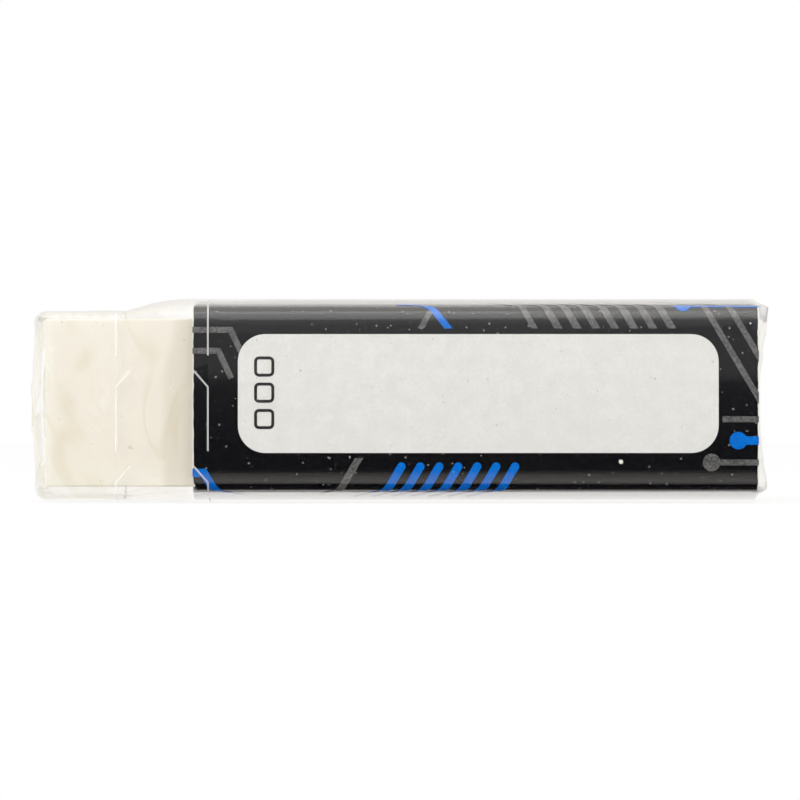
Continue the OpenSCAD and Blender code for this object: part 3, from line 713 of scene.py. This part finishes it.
def dressFilm(sheet):
    material, tree, surface, place = newMaterial("clearFilm")
    axes = splitAxes(tree, place)
    bare = smooth(tree, axes[0], sleeveLow.x + film["bareFrom"], sleeveLow.x - film["bareFull"])
    # Creases: broad on the bare end, none where the film lies tight on the sleeve
    stretched = addNode(tree, "ShaderNodeMapping", {
        "Vector": place, "Scale": film["streakStretch"]}).outputs[0]
    streaks = noiseAt(tree, stretched, film["streaksPerMetre"], 3.0, Distortion=film["streakTwist"])
    bow = placeGroup(tree, wallBow, Place=place, **film["wall"])["Height"]
    bump = bumped(tree, plus(tree, bow, times(tree, streaks, film["streakDepth"], bare)))
    haze = filmHaze(tree, place, axes, bare, streaks)
    tint = mixColours(tree, bare, film["clear"], film["bareClear"])
    # Painted shade along the creases of the bare film
    tint = mixColours(tree, times(tree, creaseShadeLines(tree, place), bare), tint, film["creaseShade"])
    clear = addNode(tree, "ShaderNodeBsdfTransparent", {"Color": tint}).outputs[0]
    cloudy = addNode(tree, "ShaderNodeBsdfDiffuse", {"Color": film["white"], "Normal": bump}).outputs[0]
    shine = addNode(tree, "ShaderNodeBsdfGlossy", {
        "Color": (1, 1, 1, 1), "Roughness": film["gloss"], "Normal": bump}).outputs[0]
    edgeOn = addNode(tree, "ShaderNodeLayerWeight", {"Blend": 0.5, "Normal": bump}).outputs["Facing"]
    mirrored = times(tree, calc(tree, "POWER", edgeOn, 5.0), film["mirrorEdgeOn"])
    mirrored = calc(tree, "ADD", film["mirrorFacing"], mirrored, clamp=True)
    # Only the face that is met first mirrors, so that no light is lost between the two faces of the film
    outer = minus(tree, 1.0, addNode(tree, "ShaderNodeNewGeometry").outputs["Backfacing"])
    seen = mixShaders(tree, haze, clear, cloudy)
    tree.links.new(mixShaders(tree, times(tree, mirrored, outer), seen, shine), surface)
    sheet.data.materials.clear()
    sheet.data.materials.append(material)


creasedFilm = makeFilm()
dressFilm(creasedFilm)
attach(creasedFilm, "root")
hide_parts("shrink_film")
dress("shrink_film", creasedFilm.data.materials[0])
print("film made")


# Floor, light and camera

studio = {
    "floorLeft": -0.5,
    "floorRight": 0.5,
    "floorFront": -0.075,
    "floorBack": 0.6,
    "floorUnder": 0.002 * mm,
    "floorPale": (0.93, 0.93, 0.92, 1),
    "floorGlow": 0.86,
    "stripsFrom": 1.0 * mm,
    "stripsOver": 11 * mm,
    "floorStrips": (
        (0.022, 1.0), (0.03, 0.01), (0.083, 0.01), (0.091, 0.95),
        (0.2, 0.66), (0.455, 0.24), (0.75, 0.04)),
    "stripTint": (1, 0.95, 0.89),
    "stripsNear": (1, 0.98, 0.96, 1),
    "stripsFar": (0.02, 0.02, 0.02, 1),
    "dimBehind": 0.72,
    "behindCard": (1.0 * mm, 9.0 * mm),
    "besideCard": 3.0 * mm,
    "dimUnderFold": 0.97,
    "underFoldFrom": (0.6 * mm, 0.7 * mm),
    "underFoldTo": (2.25 * mm, 2.05 * mm),
    "underFoldSide": 0.3 * mm,
    "ambient": 0.93,
    "roomLow": (0.015, 0.015, 0.018, 1),
    "roomHeights": (
        (0.49, 0.05), (0.512, 0.08), (0.5195, 0.35), (0.552, 0.33), (0.57, 0.54), (0.85, 0.78)),
    "roomBehind": (0.86, 0.84, 0.81, 1),
    "behindFrom": (-0.75, -0.2),
    "overheadUp": (0.5, 0.75),
    "overheadSide": (0.35, 0.15),
    "softBox": 1.3,
    "softBoxFront": (0.0, -0.12),
    "softBoxBack": 1.1,
    "softBoxFade": ((0.9, -0.05), (-0.5, -0.2)),
    "keyPower": 1.1,
    "keySize": 0.35,
    "keyPlace": (-0.25, -0.35, 0.45),
    "keyAim": (0, 0, 5 * mm),
    "cameraPlace": (-0.015 * mm, -0.4589, 6.22 * mm),
    "cameraReach": (0.01, 20),
    "sensorWidth": 36,
    "seenWidth": 48.3 * mm,
}


def floorDimming(tree, axes):
    # It is dimmer behind the card
    behind = [sleeveHigh.y + far for far in studio["behindCard"]]
    byCard = smooth(tree, axes[0], sleeveLow.x, sleeveLow.x + studio["besideCard"])
    dimming = times(tree, smooth(tree, axes[1], *behind), byCard, studio["dimBehind"])
    # The low fold mirrors the shade under the card's front edge
    start, end = [[sleeveLow.y + far for far in studio[key]] for key in ("underFoldFrom", "underFoldTo")]
    underFold = times(tree, smooth(tree, axes[1], *end), smooth(tree, axes[1], *start),
                      smooth(tree, axes[0], sleeveLow.x, sleeveLow.x + studio["underFoldSide"]))
    return calc(tree, "MAXIMUM", dimming, times(tree, underFold, studio["dimUnderFold"]))


def floorInGloss(tree, axes):
    # Seen in the gloss, the floor is pale under and behind the object. In front of it come a dark line,
    # a lit strip and then the dark that a lens throws
    away = minus(tree, sleeveLow.y + studio["stripsFrom"], axes[1])
    away = calc(tree, "DIVIDE", away, studio["stripsOver"])
    red, green, blue = studio["stripTint"]
    stops = [(at, (value * red, value * green, value * blue, 1)) for at, value in studio["floorStrips"]]
    strips = colourRamp(tree, away, (0.0, studio["stripsNear"]), (1.0, studio["stripsFar"]), stops)
    dimmed = minus(tree, 1.0, floorDimming(tree, axes))
    return addNode(tree, "ShaderNodeEmission", {"Color": strips, "Strength": dimmed}).outputs[0]


def makeFloor():
    bpy.ops.object.select_all(action="DESELECT")
    bpy.ops.mesh.primitive_grid_add(x_subdivisions=4, y_subdivisions=4, size=1)
    floor = bpy.context.object
    floor.name = "pale_floor"
    left, right = studio["floorLeft"], studio["floorRight"]
    front, back = studio["floorFront"], studio["floorBack"]
    floor.scale = (right - left, back - front, 1)
    floor.location = ((left + right) / 2, (back + front) / 2, -studio["floorUnder"])
    bpy.ops.object.transform_apply(location=True, rotation=True, scale=True)
    material, tree, surface, place = newMaterial("paleFloor")
    path = addNode(tree, "ShaderNodeLightPath").outputs
    lit = addNode(tree, "ShaderNodeBsdfDiffuse", {"Color": studio["floorPale"]}).outputs[0]
    glow = addNode(tree, "ShaderNodeEmission", {"Color": (1, 1, 1, 1), "Strength": 1.0}).outputs[0]
    toCamera = mixShaders(tree, studio["floorGlow"], lit, glow)
    first = mixShaders(tree, path["Is Camera Ray"], lit, toCamera)
    inGloss = floorInGloss(tree, splitAxes(tree, place))
    tree.links.new(mixShaders(tree, path["Is Glossy Ray"], first, inGloss), surface)
    floor.data.materials.append(material)


def roomInGloss(tree, axes):
    # In the gloss the room is white behind, at the sides and above, and dark behind the camera
    height = plus(tree, times(tree, axes[2], 0.5), 0.5)
    stops = [(at, (value, value, value, 1)) for at, value in studio["roomHeights"]]
    heights = colourRamp(tree, height, (0.45, studio["roomLow"]), (1.0, (1, 1, 1, 1)), stops)
    seen = mixColours(tree, smooth(tree, axes[1], *studio["behindFrom"]), heights, studio["roomBehind"])
    # A soft box overhead, in front of the object and, fading, behind it
    overhead = times(tree, smooth(tree, axes[2], *studio["overheadUp"]),
                     smooth(tree, calc(tree, "ABSOLUTE", axes[0]), *studio["overheadSide"]))
    inFront = times(tree, smooth(tree, axes[1], *studio["softBoxFront"]), studio["softBox"])
    toBack, toCamera = studio["softBoxFade"]
    fading = times(tree, smooth(tree, axes[1], *toBack), smooth(tree, axes[1], *toCamera),
                   studio["softBoxBack"])
    strength = plus(tree, 1.0, times(tree, overhead, plus(tree, inFront, fading)))
    return addNode(tree, "ShaderNodeBackground", {"Color": seen, "Strength": strength}).outputs[0]


def plainRoom(tree, strength):
    return addNode(tree, "ShaderNodeBackground", {"Color": (1, 1, 1, 1), "Strength": strength}).outputs[0]


def makeWorld():
    world = bpy.data.worlds.new("softRoom")
    bpy.context.scene.world = world
    world.use_nodes = True
    tree = world.node_tree
    tree.nodes.clear()
    output = tree.nodes.new("ShaderNodeOutputWorld")
    path = addNode(tree, "ShaderNodeLightPath").outputs
    axes = splitAxes(tree, tree.nodes.new("ShaderNodeTexCoord").outputs["Generated"])
    lighting = mixShaders(
        tree, path["Is Glossy Ray"], plainRoom(tree, studio["ambient"]), roomInGloss(tree, axes))
    both = mixShaders(tree, path["Is Camera Ray"], lighting, plainRoom(tree, 1.0))
    tree.links.new(both, output.inputs["Surface"])


def makeKeyLamp():
    lamp = bpy.data.lights.new("softKey", "AREA")
    lamp.shape = "SQUARE"
    lamp.size = studio["keySize"]
    lamp.energy = studio["keyPower"]
    holder = bpy.data.objects.new("softKey", lamp)
    holder.location = studio["keyPlace"]
    aim = Vector(studio["keyAim"]) - Vector(studio["keyPlace"])
    holder.rotation_euler = aim.to_track_quat("-Z", "Y").to_euler()
    holder.visible_glossy = False
    bpy.context.scene.collection.objects.link(holder)


def makeCamera():
    lens = bpy.data.cameras.new("longLens")
    lens.sensor_width = studio["sensorWidth"]
    distance = sleeveLow.y - studio["cameraPlace"][1]
    lens.lens = studio["sensorWidth"] * distance / studio["seenWidth"]
    lens.clip_start, lens.clip_end = studio["cameraReach"]
    camera = bpy.data.objects.new("longLens", lens)
    camera.location = studio["cameraPlace"]
    camera.rotation_euler = (math.pi / 2, 0, 0)
    bpy.context.scene.collection.objects.link(camera)
    bpy.context.scene.camera = camera


makeFloor()
makeWorld()
makeKeyLamp()
makeCamera()
bpy.context.scene.view_settings.view_transform = "Standard"
print("studio made")
